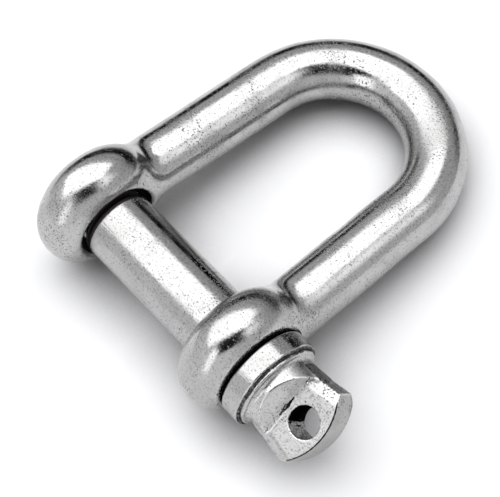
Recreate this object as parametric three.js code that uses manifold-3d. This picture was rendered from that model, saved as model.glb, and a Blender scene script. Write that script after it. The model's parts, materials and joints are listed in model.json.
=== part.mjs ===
// Screw-pin D shackle: one forged body with two eyes, and a removable threaded pin with a
// collar and a flat, drilled head. Millimetres, +Z up. The shackle lies on its side: X runs
// along the pin towards its head, Y from the pin towards the crown.
import * as THREE from "three";
import { mergeVertices } from "three/addons/utils/BufferGeometryUtils.js";
import Module from "manifold-3d";

const wasm = await Module();
wasm.setup();

// ---------------------------------------------------------------- driving dimensions
const ROD = 12; // diameter of the round bar that the body is forged from
const PIN = 14; // diameter of the pin's plain shank
const JAW = 28; // clear gap between the two eyes
const INSIDE_LENGTH = 4 * ROD; // from the pin's surface to the inside of the crown
const THREAD_PITCH = 2; // M14 coarse
const GAP = 0.3; // clearance between separate solids
const EASE = 0.1; // what a shoulder stands clear of the face beside it

// ---------------------------------------------------------------- shackle body
const ROD_RADIUS = ROD / 2;
const PIN_RADIUS = PIN / 2;
const EYE_RADIUS = 12.7;
const EYE_CENTRE = JAW / 2 + ROD_RADIUS; // an eye is as thick as the rod
const EYE_INNER_FACE = EYE_CENTRE - ROD_RADIUS;
const EYE_OUTER_FACE = EYE_CENTRE + ROD_RADIUS;
const EYE_RING = EYE_RADIUS - ROD_RADIUS; // circle that the round rim of an eye follows
const LEG_OFFSET = 0.5; // how far outside its eye's centre a leg starts
const LEG_HALF_GAP = EYE_CENTRE + LEG_OFFSET;
const CROWN_RADIUS = 19.3; // centre line of the half-round crown
const CROWN_CENTRE = PIN_RADIUS + INSIDE_LENGTH + ROD_RADIUS - CROWN_RADIUS;
const BORE_RADIUS = PIN_RADIUS + GAP;
const BORE_CHAMFER = 0.6;
const MOUTH_FLARE = 1.1; // lead-in where the pin enters the threaded eye
const MOUTH_RADIUS = BORE_RADIUS + MOUTH_FLARE;
const MOUTH_DEPTH = 1.2;
const HALF_BOW_SIDES = 15; // sides in half of the bar's section
const BOW_STEPS = 48;
const RIM_STEPS = 10;
const EYE_SIDES = 48;

// ---------------------------------------------------------------- thread
const THREAD_CREST = PIN_RADIUS - GAP / 2;
const THREAD_DEPTH = 1.1;
const THREAD_CORE = THREAD_CREST - THREAD_DEPTH;
const CREST_WIDTH = 0.3;
const FLANK_SLOPE = Math.tan(Math.PI / 6); // a metric thread has flanks 60 degrees apart
const THREAD_FIT = 0.2; // clearance between the pin's thread and the eye's
const ROOT_EMBED = 0.5; // how far the ridge's foot is sunk into the core that it joins
const STEPS_A_TURN = 20;
const RIDGE_START = -THREAD_PITCH * Math.ceil(EYE_OUTER_FACE / THREAD_PITCH + 1);

// ---------------------------------------------------------------- pin
const SHANK_OVERRUN = 0.5; // how far the plain shank reaches into the threaded eye
const SHANK_START = -EYE_INNER_FACE - SHANK_OVERRUN;
const SHANK_END = EYE_OUTER_FACE - EASE;
const THREAD_START = -EYE_OUTER_FACE;
const THREAD_END = SHANK_START - GAP;
const THREAD_CHAMFER = 1.2;
const COLLAR_START = SHANK_END + GAP + EASE;
const COLLAR_THICKNESS = 4.2;
const COLLAR_END = COLLAR_START + COLLAR_THICKNESS;
const COLLAR_RADIUS = 9.5;
const COLLAR_ROUNDING = 0.6;
const ROUNDING_STEPS = 3; // steps round each rounded rim of the collar
const HEAD_START = COLLAR_END + GAP;
const HEAD_NECK_RADIUS = 7.4;
const HEAD_NECK_LENGTH = 1.9;
const HEAD_SLOPE = HEAD_START + HEAD_NECK_LENGTH; // the slopes to the two flats start here
const HEAD_STEP = 35.2; // and end here
const HEAD_CORNER = 41.8; // where the flared sides meet the curved end
const HEAD_END_BULGE = 2;
const HEAD_THICKNESS = 7;
const FLAT_HALF_WIDTH_AT_STEP = 6.2;
const FLAT_HALF_WIDTH_AT_CORNER = 7.3;
const SIDE_BULGE = 1.5;
const HEAD_TURN = THREE.MathUtils.degToRad(37); // how far the head stands turned about the pin
const CROSS_HOLE = 39.4;
const CROSS_HOLE_RADIUS = 2.95;
const HOLE_SIDES = 32;
const END_STEPS = 12; // steps along the head's curved end
const SIDE_STEPS = 8; // steps along each bulging side
const PAST = 1; // how far a cutting tool runs past the face that it cuts

// ---------------------------------------------------------------- finishes
const POLISHED_STEEL = { color: 0xb9b8b4, roughness: 0.28, metalness: 1 };
const MACHINED_STEEL = { color: 0xa9a8a5, roughness: 0.36, metalness: 1 };

// A three.js geometry, moved by a matrix, as a closed manifold-3d solid.
function solidOf(geometry, matrix = new THREE.Matrix4()) {
  const bare = geometry.index ? geometry.toNonIndexed() : geometry.clone();
  bare.deleteAttribute("normal");
  bare.deleteAttribute("uv");
  bare.applyMatrix4(matrix);
  const merged = mergeVertices(bare, 1e-4);
  return new wasm.Manifold(
    new wasm.Mesh({
      numProp: 3,
      vertProperties: merged.attributes.position.array,
      triVerts: new Uint32Array(merged.index.array),
    }),
  );
}

// A manifold-3d solid as a three.js geometry.
function geometryOf(solid) {
  const mesh = solid.getMesh();
  const geometry = new THREE.BufferGeometry();
  geometry.setAttribute("position", new THREE.BufferAttribute(mesh.vertProperties, 3));
  geometry.setIndex(new THREE.BufferAttribute(mesh.triVerts, 1));
  geometry.computeVertexNormals();
  return geometry;
}

// A named part with a finish of its own.
function part(name, solid, finish) {
  const mesh = new THREE.Mesh(geometryOf(solid), new THREE.MeshStandardMaterial(finish));
  mesh.name = name;
  return mesh;
}

// A solid turned about the X axis. The outline lists [x, radius] from high x to low x, and
// is closed onto the axis at both ends.
function turned(outline, sides = EYE_SIDES) {
  const last = outline.length - 1;
  const profile = [[outline[0][0], 0], ...outline, [outline[last][0], 0]];
  const points = profile.map(([x, radius]) => new THREE.Vector2(radius, -x));
  const lay = new THREE.Matrix4().makeRotationZ(Math.PI / 2);
  return solidOf(new THREE.LatheGeometry(points, sides), lay);
}

// A plain cylinder along X.
function rod(from, to, radius, sides = EYE_SIDES) {
  return turned([[to, radius], [from, radius]], sides);
}

// The bow's centre line: up the far leg, round the crown and down the near leg. The legs
// lean in a little, and meet the crown on a tangent.
class BowLine extends THREE.Curve {
  constructor() {
    super();
    const distance = Math.hypot(LEG_HALF_GAP, CROWN_CENTRE);
    const toFoot = Math.atan2(-CROWN_CENTRE, LEG_HALF_GAP);
    this.tangentAngle = toFoot + Math.acos(CROWN_RADIUS / distance);
    this.leg = Math.sqrt(distance ** 2 - CROWN_RADIUS ** 2);
    this.arc = CROWN_RADIUS * (Math.PI - 2 * this.tangentAngle);
  }

  // The point at a share of the whole line.
  getPoint(share, target = new THREE.Vector3()) {
    const along = share * (2 * this.leg + this.arc);
    const side = along < this.leg + this.arc / 2 ? -1 : 1;
    const fromFoot = side < 0 ? along : 2 * this.leg + this.arc - along;
    const onArc = Math.max(0, fromFoot - this.leg) / CROWN_RADIUS;
    const angle = this.tangentAngle + onArc;
    const back = Math.max(0, this.leg - fromFoot);
    return target.set(
      side * (CROWN_RADIUS * Math.cos(angle) + back * Math.sin(this.tangentAngle)),
      CROWN_CENTRE + CROWN_RADIUS * Math.sin(angle) - back * Math.cos(this.tangentAngle),
      0,
    );
  }
}

// The round bar of the body, from eye to eye.
function bow() {
  const section = new THREE.Shape();
  section.absarc(0, 0, ROD_RADIUS, 0, 2 * Math.PI);
  return solidOf(
    new THREE.ExtrudeGeometry(section, {
      steps: BOW_STEPS,
      extrudePath: new BowLine(),
      curveSegments: HALF_BOW_SIDES,
      bevelEnabled: false,
    }),
  );
}

// An eye before it is bored: a thick disc with a fully rounded rim.
function eye(centre) {
  const outline = Array.from({ length: RIM_STEPS + 1 }, (_, i) => {
    const angle = Math.PI * (0.5 - i / RIM_STEPS);
    return [centre + ROD_RADIUS * Math.sin(angle), EYE_RING + ROD_RADIUS * Math.cos(angle)];
  });
  return turned(outline);
}

// A screw thread's ridge, right-handed about X. It is extruded straight, one unit for each
// radian of turn, and its points are then wound onto the helix. Grow widens every face.
function threadRidge(from, to, grow) {
  const crest = THREAD_CREST + grow;
  const foot = THREAD_CORE - ROOT_EMBED;
  const halfCrest = CREST_WIDTH / 2 + grow;
  const halfFoot = halfCrest + FLANK_SLOPE * (crest - foot);
  const section = new THREE.Shape([
    new THREE.Vector2(-halfFoot, foot),
    new THREE.Vector2(halfFoot, foot),
    new THREE.Vector2(halfCrest, crest),
    new THREE.Vector2(-halfCrest, crest),
  ]);
  const turns = (to - from) / THREAD_PITCH;
  const straight = new THREE.ExtrudeGeometry(section, {
    depth: 2 * Math.PI * turns,
    steps: Math.ceil(STEPS_A_TURN * turns),
    bevelEnabled: false,
  });
  const points = straight.attributes.position;
  for (let i = 0; i < points.count; i++) {
    const angle = points.getZ(i);
    const radius = points.getY(i);
    const along = from + points.getX(i) + (THREAD_PITCH * angle) / (2 * Math.PI);
    points.setXYZ(i, along, radius * Math.cos(angle), radius * Math.sin(angle));
  }
  return solidOf(straight);
}

// The forged body: the bow and two eyes, one bored for the shank and one threaded.
function shackleBody() {
  const clearBore = turned([
    [EYE_OUTER_FACE + PAST, BORE_RADIUS + BORE_CHAMFER + PAST],
    [EYE_OUTER_FACE - BORE_CHAMFER, BORE_RADIUS],
    [EYE_INNER_FACE + BORE_CHAMFER, BORE_RADIUS],
    [EYE_INNER_FACE - PAST, BORE_RADIUS + BORE_CHAMFER + PAST],
  ]);
  const threadHole = THREAD_CORE + THREAD_FIT;
  const threadedBore = rod(RIDGE_START, -EYE_INNER_FACE + PAST, threadHole, STEPS_A_TURN).add(
    threadRidge(RIDGE_START, -EYE_INNER_FACE, THREAD_FIT),
  );
  const mouth = turned([
    [-EYE_INNER_FACE + PAST, MOUTH_RADIUS + PAST],
    [-EYE_INNER_FACE - MOUTH_DEPTH, BORE_RADIUS],
  ]);
  const farChamfer = turned([
    [-EYE_OUTER_FACE + THREAD_CHAMFER, THREAD_CORE],
    [-EYE_OUTER_FACE - PAST, THREAD_CORE + THREAD_CHAMFER + PAST],
  ]);
  return bow()
    .add(eye(EYE_CENTRE))
    .add(eye(-EYE_CENTRE))
    .subtract(clearBore)
    .subtract(threadedBore)
    .subtract(mouth)
    .subtract(farChamfer);
}

// The pin's threaded end, with a chamfered tip.
function pinThread() {
  const blank = turned([
    [THREAD_END, THREAD_CREST + PAST],
    [THREAD_START + THREAD_CHAMFER + PAST, THREAD_CREST + PAST],
    [THREAD_START, THREAD_CREST - THREAD_CHAMFER],
  ]);
  return rod(RIDGE_START, THREAD_END + PAST, THREAD_CORE, STEPS_A_TURN)
    .add(threadRidge(RIDGE_START, THREAD_END + PAST, 0))
    .intersect(blank);
}

// The pin's plain shank, which the load bears on.
function pinShank() {
  return rod(SHANK_START, SHANK_END, PIN_RADIUS);
}

// The collar that stops the pin against the plain eye, with rounded rims.
function pinCollar() {
  const inner = COLLAR_RADIUS - COLLAR_ROUNDING;
  const corner = (centre, from) =>
    Array.from({ length: ROUNDING_STEPS + 1 }, (_, i) => {
      const angle = from + (i / ROUNDING_STEPS) * (Math.PI / 2);
      return [
        centre + COLLAR_ROUNDING * Math.cos(angle),
        inner + COLLAR_ROUNDING * Math.sin(angle),
      ];
    });
  return turned([
    ...corner(COLLAR_END - COLLAR_ROUNDING, 0),
    ...corner(COLLAR_START + COLLAR_ROUNDING, Math.PI / 2),
  ]);
}

// The flat head before it is turned to its angle: width along Y and thickness along Z.
function headBlank() {
  const half = HEAD_THICKNESS / 2;
  const width = FLAT_HALF_WIDTH_AT_STEP;
  const section = new THREE.Shape();
  section.moveTo(-width, -half);
  section.lineTo(width, -half);
  section.quadraticCurveTo(width + 2 * SIDE_BULGE, 0, width, half);
  section.lineTo(-width, half);
  section.quadraticCurveTo(-width - 2 * SIDE_BULGE, 0, -width, -half);
  const from = HEAD_STEP - PAST;
  const to = HEAD_CORNER + HEAD_END_BULGE;
  const bar = new THREE.ExtrudeGeometry(section, {
    depth: to - from,
    steps: 1,
    curveSegments: SIDE_STEPS,
    bevelEnabled: false,
  });
  const flare = (FLAT_HALF_WIDTH_AT_CORNER - width) / (HEAD_CORNER - HEAD_STEP) / width;
  const points = bar.attributes.position;
  for (let i = 0; i < points.count; i++) {
    const x = from + points.getZ(i);
    const spread = 1 + flare * (x - HEAD_STEP);
    points.setXYZ(i, x, points.getX(i) * spread, points.getY(i));
  }
  return solidOf(bar);
}

// What the head keeps, seen across its width: full depth at the neck, then a slope down to
// each flat.
function headSideOutline() {
  const half = HEAD_THICKNESS / 2;
  const reach = HEAD_CORNER + HEAD_END_BULGE + PAST;
  const outline = new THREE.Shape([
    new THREE.Vector2(HEAD_START, -HEAD_NECK_RADIUS - PAST),
    new THREE.Vector2(HEAD_SLOPE, -HEAD_NECK_RADIUS),
    new THREE.Vector2(HEAD_STEP, -half),
    new THREE.Vector2(reach, -half),
    new THREE.Vector2(reach, half),
    new THREE.Vector2(HEAD_STEP, half),
    new THREE.Vector2(HEAD_SLOPE, HEAD_NECK_RADIUS),
    new THREE.Vector2(HEAD_START, HEAD_NECK_RADIUS + PAST),
  ]);
  const depth = 4 * HEAD_NECK_RADIUS;
  const stand = new THREE.Matrix4()
    .makeRotationX(Math.PI / 2)
    .setPosition(0, depth / 2, 0);
  return solidOf(new THREE.ExtrudeGeometry(outline, { depth, bevelEnabled: false }), stand);
}

// What the head keeps, seen onto its flats: a gently curved end.
function headEndOutline() {
  const half = FLAT_HALF_WIDTH_AT_CORNER + 2 * SIDE_BULGE;
  const outline = new THREE.Shape();
  outline.moveTo(HEAD_START, -half);
  outline.lineTo(HEAD_CORNER, -half);
  outline.quadraticCurveTo(HEAD_CORNER + 2 * HEAD_END_BULGE, 0, HEAD_CORNER, half);
  outline.lineTo(HEAD_START, half);
  const depth = 4 * HEAD_NECK_RADIUS;
  const lower = new THREE.Matrix4().makeTranslation(0, 0, -depth / 2);
  const settings = { depth, curveSegments: END_STEPS, bevelEnabled: false };
  return solidOf(new THREE.ExtrudeGeometry(outline, settings), lower);
}

// The pin's head: a round neck, sloped down to a flat tab with a hole through it.
function pinHead() {
  const neck = rod(HEAD_START, HEAD_STEP + PAST, HEAD_NECK_RADIUS);
  const upright = new THREE.Matrix4().makeRotationX(Math.PI / 2).setPosition(CROSS_HOLE, 0, 0);
  const depth = 2 * HEAD_THICKNESS;
  const drill = solidOf(
    new THREE.CylinderGeometry(CROSS_HOLE_RADIUS, CROSS_HOLE_RADIUS, depth, HOLE_SIDES),
    upright,
  );
  return neck
    .intersect(headSideOutline())
    .add(headBlank())
    .intersect(headEndOutline())
    .subtract(drill)
    .rotate([THREE.MathUtils.radToDeg(HEAD_TURN), 0, 0]);
}

// The whole shackle, on its side on a flat surface: the eyes' rims and the crown touch it.
const shackle = new THREE.Group();
shackle.add(
  part("shackle_body", shackleBody(), POLISHED_STEEL),
  part("pin_thread", pinThread(), MACHINED_STEEL),
  part("pin_shank", pinShank(), POLISHED_STEEL),
  part("pin_collar", pinCollar(), MACHINED_STEEL),
  part("pin_head", pinHead(), POLISHED_STEEL),
);
const crownReach = CROWN_CENTRE + CROWN_RADIUS;
shackle.rotation.x = -Math.atan2(EYE_RING, crownReach);

// The stored frame's origin is the middle of the underside of the whole shackle's box.
const stored = new THREE.Group();
stored.add(shackle);
stored.updateMatrixWorld(true);
const box = new THREE.Box3().setFromObject(stored, true);
const middle = box.getCenter(new THREE.Vector3());
shackle.position.set(-middle.x, -middle.y, -box.min.z);

export default stored;
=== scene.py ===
"""The looks of a screw-pin D shackle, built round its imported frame.

The forged body and the screw pin are each one closed skin, taken from a signed distance
field. The fields are written in the shackle's own axes, in millimetres: X along the pin
towards its head, Y from the pin towards the crown, Z up out of the bow's plane.
"""

from __future__ import annotations

import json
import logging
import math
from dataclasses import dataclass
from enum import Enum
from typing import Callable

import bpy
import numpy as np
import openvdb
from mathutils import Matrix, Vector

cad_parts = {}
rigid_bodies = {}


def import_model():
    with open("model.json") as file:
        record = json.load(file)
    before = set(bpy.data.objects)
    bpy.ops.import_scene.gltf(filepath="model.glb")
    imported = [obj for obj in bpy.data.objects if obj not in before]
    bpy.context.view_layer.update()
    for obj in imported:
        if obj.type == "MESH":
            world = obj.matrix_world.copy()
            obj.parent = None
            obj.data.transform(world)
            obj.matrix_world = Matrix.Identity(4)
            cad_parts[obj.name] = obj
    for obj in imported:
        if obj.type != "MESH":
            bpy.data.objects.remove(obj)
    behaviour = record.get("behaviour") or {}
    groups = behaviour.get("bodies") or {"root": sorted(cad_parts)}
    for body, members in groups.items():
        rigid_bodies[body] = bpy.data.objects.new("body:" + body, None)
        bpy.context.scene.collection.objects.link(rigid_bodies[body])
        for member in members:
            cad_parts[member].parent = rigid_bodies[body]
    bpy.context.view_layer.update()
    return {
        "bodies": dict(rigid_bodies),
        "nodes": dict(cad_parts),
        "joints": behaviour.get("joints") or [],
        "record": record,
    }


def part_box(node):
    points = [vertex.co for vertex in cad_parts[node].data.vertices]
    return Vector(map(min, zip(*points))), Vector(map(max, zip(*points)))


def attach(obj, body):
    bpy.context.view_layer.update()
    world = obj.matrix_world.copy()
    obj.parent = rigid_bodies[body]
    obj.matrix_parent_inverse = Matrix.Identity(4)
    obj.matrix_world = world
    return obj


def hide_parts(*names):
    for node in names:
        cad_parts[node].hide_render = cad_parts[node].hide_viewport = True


LOG = logging.getLogger("shackle")
MM = 0.001
RIM_WEAR = "rim_wear"
HOLLOW_SHADE_AND_GRIME = "hollow_shade_and_grime"
SHADE_AND_MARKS = "painted_shade_and_marks"

BAR = 6.0  # radius of the bar, in mm, like the sizes below
CROWN = 19.3  # radius of the crown's centre line
LEG_OFFSET = 0.5  # how far outside its eye's centre a leg starts
BORE_CLEARANCE = 0.3  # between the shank and the plain bore
THREAD_DEPTH = 1.1  # of both threads
THREAD_CLEARANCE = 0.2  # between the two threads
LIP_ROOM = 0.4  # what the collar gives up to the lip in front of it
STEP_BACK = 8.6  # from the head's end back to where its flats start
SLOPE_BACK = 11.3  # from the head's end back to where its slopes start
END_BULGE = 2.0  # how far the head's curved end stands past its corners

OVERLAP = 1.0  # how far two solids run into each other where they meet, in mm
SLANT = math.sqrt(0.5)  # turns a 45 degree chamfer's drop into a distance
FLANK_RISE = math.sqrt(3)  # rise of a 60 degree thread's flank over its run
STEEPNESS = 0.6  # keeps a thread's field from growing faster than distance does

Coords = tuple[np.ndarray, np.ndarray, np.ndarray]
Field = Callable[[np.ndarray, np.ndarray, np.ndarray], np.ndarray]


# ------------------------------------------------------------------ distance fields
def smooth_join(a: np.ndarray, b: np.ndarray, radius: float) -> np.ndarray:
    """Joins two solids with a fillet.

    Args:
        a: Distance to the first solid.
        b: Distance to the second solid.
        radius: Size of the fillet.

    Returns:
        Distance to the joined solid.
    """
    blend = np.clip(0.5 + 0.5 * (b - a) / radius, 0, 1)
    return b + (a - b) * blend - radius * blend * (1 - blend)


def smooth_keep(a: np.ndarray, b: np.ndarray, radius: float) -> np.ndarray:
    """Keeps what two solids share, with its edges eased by a radius."""
    return -smooth_join(-a, -b, radius)


def smooth_cut(a: np.ndarray, tool: np.ndarray, radius: float) -> np.ndarray:
    """Cuts a tool from a solid, with the cut's edges eased by a radius."""
    return smooth_keep(a, -tool, radius)


def turned_slug(
    x: np.ndarray, r: np.ndarray, start: float, end: float, radius: float, easing: float
) -> np.ndarray:
    """Gives the distance to a cylinder along X with rounded rims.

    Args:
        x: Places along the axis.
        r: Distances from the axis.
        start: Where the cylinder starts.
        end: Where it ends.
        radius: Its radius.
        easing: Radius of its rims.

    Returns:
        Distance to the cylinder.
    """
    along = np.abs(x - (start + end) / 2) - (end - start) / 2 + easing
    out = r - radius + easing
    outside = np.hypot(np.maximum(along, 0), np.maximum(out, 0))
    return outside + np.minimum(np.maximum(along, out), 0) - easing


def waviness(x: np.ndarray, y: np.ndarray, z: np.ndarray, length: float, seed: float) -> np.ndarray:
    """Gives a gentle, irregular swell between about -1 and 1.

    Args:
        x: First coordinate.
        y: Second coordinate.
        z: Third coordinate.
        length: Rough length of one swell.
        seed: Shifts the swells, so that no two surfaces match.

    Returns:
        The swell at each point.
    """
    k = 2 * math.pi / length
    first = np.sin(k * (0.91 * x + 0.37 * y - 0.23 * z) + seed)
    second = np.sin(k * (-0.41 * x + 0.83 * y + 0.52 * z) + 2.1 * seed + first)
    third = np.sin(k * (0.33 * x - 0.47 * y + 1.07 * z) - 1.3 * seed + second)
    return (first + second + third) / 3


def screw_outline(
    x: np.ndarray, y: np.ndarray, z: np.ndarray, pitch: float, peak: float, low: float, high: float
) -> np.ndarray:
    """Gives the radius of a right-handed 60 degree thread's outline.

    Args:
        x: Places along the axis.
        y: Places across it.
        z: Places across it, at a right angle to y.
        pitch: Pitch of the thread.
        peak: Radius where the flanks would meet if nothing cut them off.
        low: Least radius of the outline.
        high: Greatest radius of the outline.

    Returns:
        The radius at each place.
    """
    turn = np.arctan2(z, y) / (2 * math.pi)
    phase = np.mod(x / pitch - turn + 0.5, 1.0) - 0.5
    return np.clip(peak - np.abs(phase) * pitch * FLANK_RISE, low, high)


def near(values: np.ndarray, place: float | np.ndarray, reach: float | np.ndarray) -> np.ndarray:
    """Gives 1 at a place, fading to 0 over a reach on either side."""
    return np.exp(-(((values - place) / reach) ** 2))


def ramp(values: np.ndarray, start: float, end: float) -> np.ndarray:
    """Gives 0 up to a start, rising evenly to 1 at an end."""
    return np.clip((values - start) / (end - start), 0, 1)


# ------------------------------------------------------------------ placing and meshing
@dataclass(frozen=True)
class Lie:
    """How the shackle lies in the stored frame.

    Attributes:
        origin: The middle of the pin between the eyes, in metres.
        lean: Angle that the bow's plane leans by, about X, in radians.
    """

    origin: Vector
    lean: float

    @classmethod
    def from_record(cls, record: dict) -> Lie:
        """Reads the pin's axis and the bow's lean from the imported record.

        Args:
            record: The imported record.

        Returns:
            The shackle's lie.
        """
        joints = {joint["name"]: joint for joint in record["behaviour"]["joints"]}
        mounts = {mount["name"]: mount for mount in record["mounts"]}
        inward = mounts["crown_hang"]["axis"]
        return cls(Vector(joints["pin_unscrew"]["pos_m"]), math.atan2(-inward[2], -inward[1]))

    def matrix(self) -> Matrix:
        """Gives the matrix from the shackle's own axes, in mm, to the stored frame."""
        turn = Matrix.Rotation(self.lean, 4, "X")
        return Matrix.Translation(self.origin) @ turn @ Matrix.Scale(MM, 4)

    def local(self, point: Vector) -> Vector:
        """Gives a stored point in the shackle's own axes, in mm."""
        return self.matrix().inverted() @ point


@dataclass(frozen=True)
class Mesher:
    """Turns a distance field into a smooth closed mesh.

    Attributes:
        low: Lowest corner of the box that the solid lies in, in mm.
        high: Highest corner, in mm.
        cell: Size of a grid cell, in mm.
        probe: Step for slopes, in mm.
        wide_probe: Step for curvatures, in mm.
        margin: Number of cells that the grid reaches past the box.
        rounds: How often the points are moved onto the surface.
        least_slope: Least square of the slope that a move is worked out from.
    """

    low: tuple[float, float, float]
    high: tuple[float, float, float]
    cell: float
    probe: float = 0.02
    wide_probe: float = 0.08
    margin: int = 3
    rounds: int = 3
    least_slope: float = 0.05

    def _grid(self) -> Coords:
        """Gives the coordinates of every grid point as three float32 arrays.

        Returns:
            The coordinates.
        """
        past = self.margin * self.cell
        axes = [
            np.arange(start - past, end + past, self.cell, dtype=np.float32)
            for start, end in zip(self.low, self.high)
        ]
        return tuple(np.meshgrid(*axes, indexing="ij"))

    def _slope(self, field: Field, points: np.ndarray, step: float) -> tuple[np.ndarray, np.ndarray]:
        """Measures a field's slope and its curvature.

        Args:
            field: The field.
            points: Where to measure, one row each.
            step: Step on either side of each point.

        Returns:
            The slope, one row each, and the sum of the second derivatives.
        """
        centre = field(*points.T)
        slope = np.empty_like(points)
        curve = np.zeros(len(points))
        for axis in range(3):
            ahead = points.copy()
            behind = points.copy()
            ahead[:, axis] += step
            behind[:, axis] -= step
            value_ahead = field(*ahead.T)
            value_behind = field(*behind.T)
            slope[:, axis] = (value_ahead - value_behind) / (2 * step)
            curve += (value_ahead + value_behind - 2 * centre) / step**2
        return slope, curve

    def build(
        self, name: str, field: Field, lie: Lie
    ) -> tuple[bpy.types.Object, np.ndarray, np.ndarray]:
        """Makes the mesh of a field's zero level.

        Args:
            name: Name of the new object.
            field: Signed distance in the shackle's own axes, in mm.
            lie: Where the shackle lies.

        Returns:
            The object, its points in mm in the shackle's axes, and the curvature at each.
        """
        x, y, z = self._grid()
        values = field(x, y, z).astype(np.float32)
        band = self.margin * self.cell
        grid = openvdb.FloatGrid(band)
        grid.copyFromArray(np.clip(values, -band, band))
        points, quads = grid.convertToQuads(isovalue=0.0)
        points = points.astype(np.float64) * self.cell + [x[0, 0, 0], y[0, 0, 0], z[0, 0, 0]]
        for _ in range(self.rounds):
            slope, _ = self._slope(field, points, self.probe)
            steepness = np.maximum((slope**2).sum(1), self.least_slope)
            move = field(*points.T)[:, None] * slope / steepness[:, None]
            points = points - np.clip(move, -self.cell, self.cell)
        slope, _ = self._slope(field, points, self.probe)
        normals = slope / np.linalg.norm(slope, axis=1)[:, None]
        _, curve = self._slope(field, points, self.wide_probe)
        quads = self._facing_out(points, quads, normals)
        return self._object(name, points, quads, normals, lie), points, curve

    @staticmethod
    def _facing_out(points: np.ndarray, quads: np.ndarray, normals: np.ndarray) -> np.ndarray:
        """Turns all the quads over if they face into the solid.

        Args:
            points: The points, one row each, in mm.
            quads: The four corners of each face.
            normals: The outward direction at each point.

        Returns:
            The faces, all turned outward.
        """
        corners = points[quads]
        across = np.cross(corners[:, 2] - corners[:, 0], corners[:, 3] - corners[:, 1])
        outward = (across * normals[quads[:, 0]]).sum()
        return quads if outward > 0 else quads[:, ::-1]

    @staticmethod
    def _object(
        name: str, points: np.ndarray, quads: np.ndarray, normals: np.ndarray, lie: Lie
    ) -> bpy.types.Object:
        """Makes a smooth-shaded object in the stored frame from points in mm.

        Args:
            name: Name of the new object.
            points: The points, one row each, in mm.
            quads: The four corners of each face.
            normals: The outward direction at each point.
            lie: Where the shackle lies.

        Returns:
            The new object.
        """
        matrix = np.array(lie.matrix())
        placed = points @ matrix[:3, :3].T + matrix[:3, 3]
        turned = normals @ (matrix[:3, :3] / MM).T
        mesh = bpy.data.meshes.new(name)
        mesh.from_pydata(placed.tolist(), [], quads.tolist())
        mesh.polygons.foreach_set("use_smooth", [True] * len(mesh.polygons))
        mesh.validate()
        mesh.normals_split_custom_set_from_vertices(turned.tolist())
        piece = bpy.data.objects.new(name, mesh)
        bpy.context.scene.collection.objects.link(piece)
        return piece


def paint(piece: bpy.types.Object, name: str, values: np.ndarray) -> None:
    """Stores one number a point on a mesh, for its material to read.

    Args:
        piece: The object.
        name: Name of the attribute.
        values: One value for each point, from 0 to 1.
    """
    layer = piece.data.attributes.new(name, "FLOAT", "POINT")
    layer.data.foreach_set("value", np.clip(values, 0, 1).astype(np.float32))


# ------------------------------------------------------------------ shader helpers
class Bench:
    """A node tree with short ways to add and join nodes."""

    def __init__(self, tree: bpy.types.NodeTree) -> None:
        """Takes the tree to work on."""
        self.tree = tree

    def add(self, kind: str, settings: dict | None = None, **inputs: object) -> bpy.types.Node:
        """Adds a node, with its settings and inputs.

        Args:
            kind: The node's type name.
            settings: Properties of the node.
            **inputs: Values or sockets for its inputs, by name with _ for spaces.

        Returns:
            The new node.
        """
        node = self.tree.nodes.new(kind)
        for key, value in (settings or {}).items():
            setattr(node, key, value)
        for key, value in inputs.items():
            self.feed(node.inputs[key.replace("_", " ")], value)
        return node

    def feed(self, socket: bpy.types.NodeSocket, value: object) -> None:
        """Sets a socket to a value, or links it to another node's socket."""
        if isinstance(value, bpy.types.NodeSocket):
            self.tree.links.new(value, socket)
        else:
            socket.default_value = value

    def maths(self, operation: str, *values: object, clamp: bool = False) -> bpy.types.NodeSocket:
        """Adds a maths node.

        Args:
            operation: Which operation.
            *values: Its inputs, in order.
            clamp: Whether the result is kept from 0 to 1.

        Returns:
            The result's socket.
        """
        node = self.add("ShaderNodeMath", {"operation": operation, "use_clamp": clamp})
        for socket, value in zip(node.inputs, values):
            self.feed(socket, value)
        return node.outputs[0]

    def remap(
        self, value: object, start: float, end: float, low: float = 0.0, high: float = 1.0
    ) -> bpy.types.NodeSocket:
        """Maps a range smoothly onto another.

        Args:
            value: What to map.
            start: Start of the range that it comes from.
            end: End of that range.
            low: Result at the start.
            high: Result at the end.

        Returns:
            The result's socket.
        """
        node = self.add("ShaderNodeMapRange", {"interpolation_type": "SMOOTHSTEP"}, Value=value)
        for name, number in zip(("From Min", "From Max", "To Min", "To Max"), (start, end, low, high)):
            self.feed(node.inputs[name], number)
        return node.outputs["Result"]

    def noise(
        self, place: object, scale: object, detail: float = 3.0, rough: float = 0.5, warp: float = 0.0
    ) -> bpy.types.NodeSocket:
        """Adds a noise texture.

        Args:
            place: The coordinates.
            scale: Its scale.
            detail: Number of finer layers.
            rough: Strength of the finer layers.
            warp: Distortion.

        Returns:
            The socket of the noise, from 0 to 1.
        """
        node = self.add("ShaderNodeTexNoise", None, Vector=place, Scale=scale, Detail=detail)
        self.feed(node.inputs["Roughness"], rough)
        self.feed(node.inputs["Distortion"], warp)
        return node.outputs["Fac"]

    def blend(self, share: object, first: object, second: object) -> bpy.types.NodeSocket:
        """Mixes two colours.

        Args:
            share: How much of the second, from 0 to 1.
            first: The first colour.
            second: The second colour.

        Returns:
            The mixed colour's socket.
        """
        node = self.add("ShaderNodeMix", {"data_type": "RGBA"})
        sockets = {socket.identifier: socket for socket in (*node.inputs, *node.outputs)}
        self.feed(sockets["Factor_Float"], share)
        self.feed(sockets["A_Color"], first)
        self.feed(sockets["B_Color"], second)
        return sockets["Result_Color"]

    def place(self) -> bpy.types.NodeSocket:
        """Gives the object's own coordinates, in metres."""
        return self.add("ShaderNodeTexCoord").outputs["Object"]

    def painted(self, name: str) -> bpy.types.NodeSocket:
        """Gives an attribute that was painted on the mesh."""
        return self.add("ShaderNodeAttribute", {"attribute_name": name}).outputs["Fac"]


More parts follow.
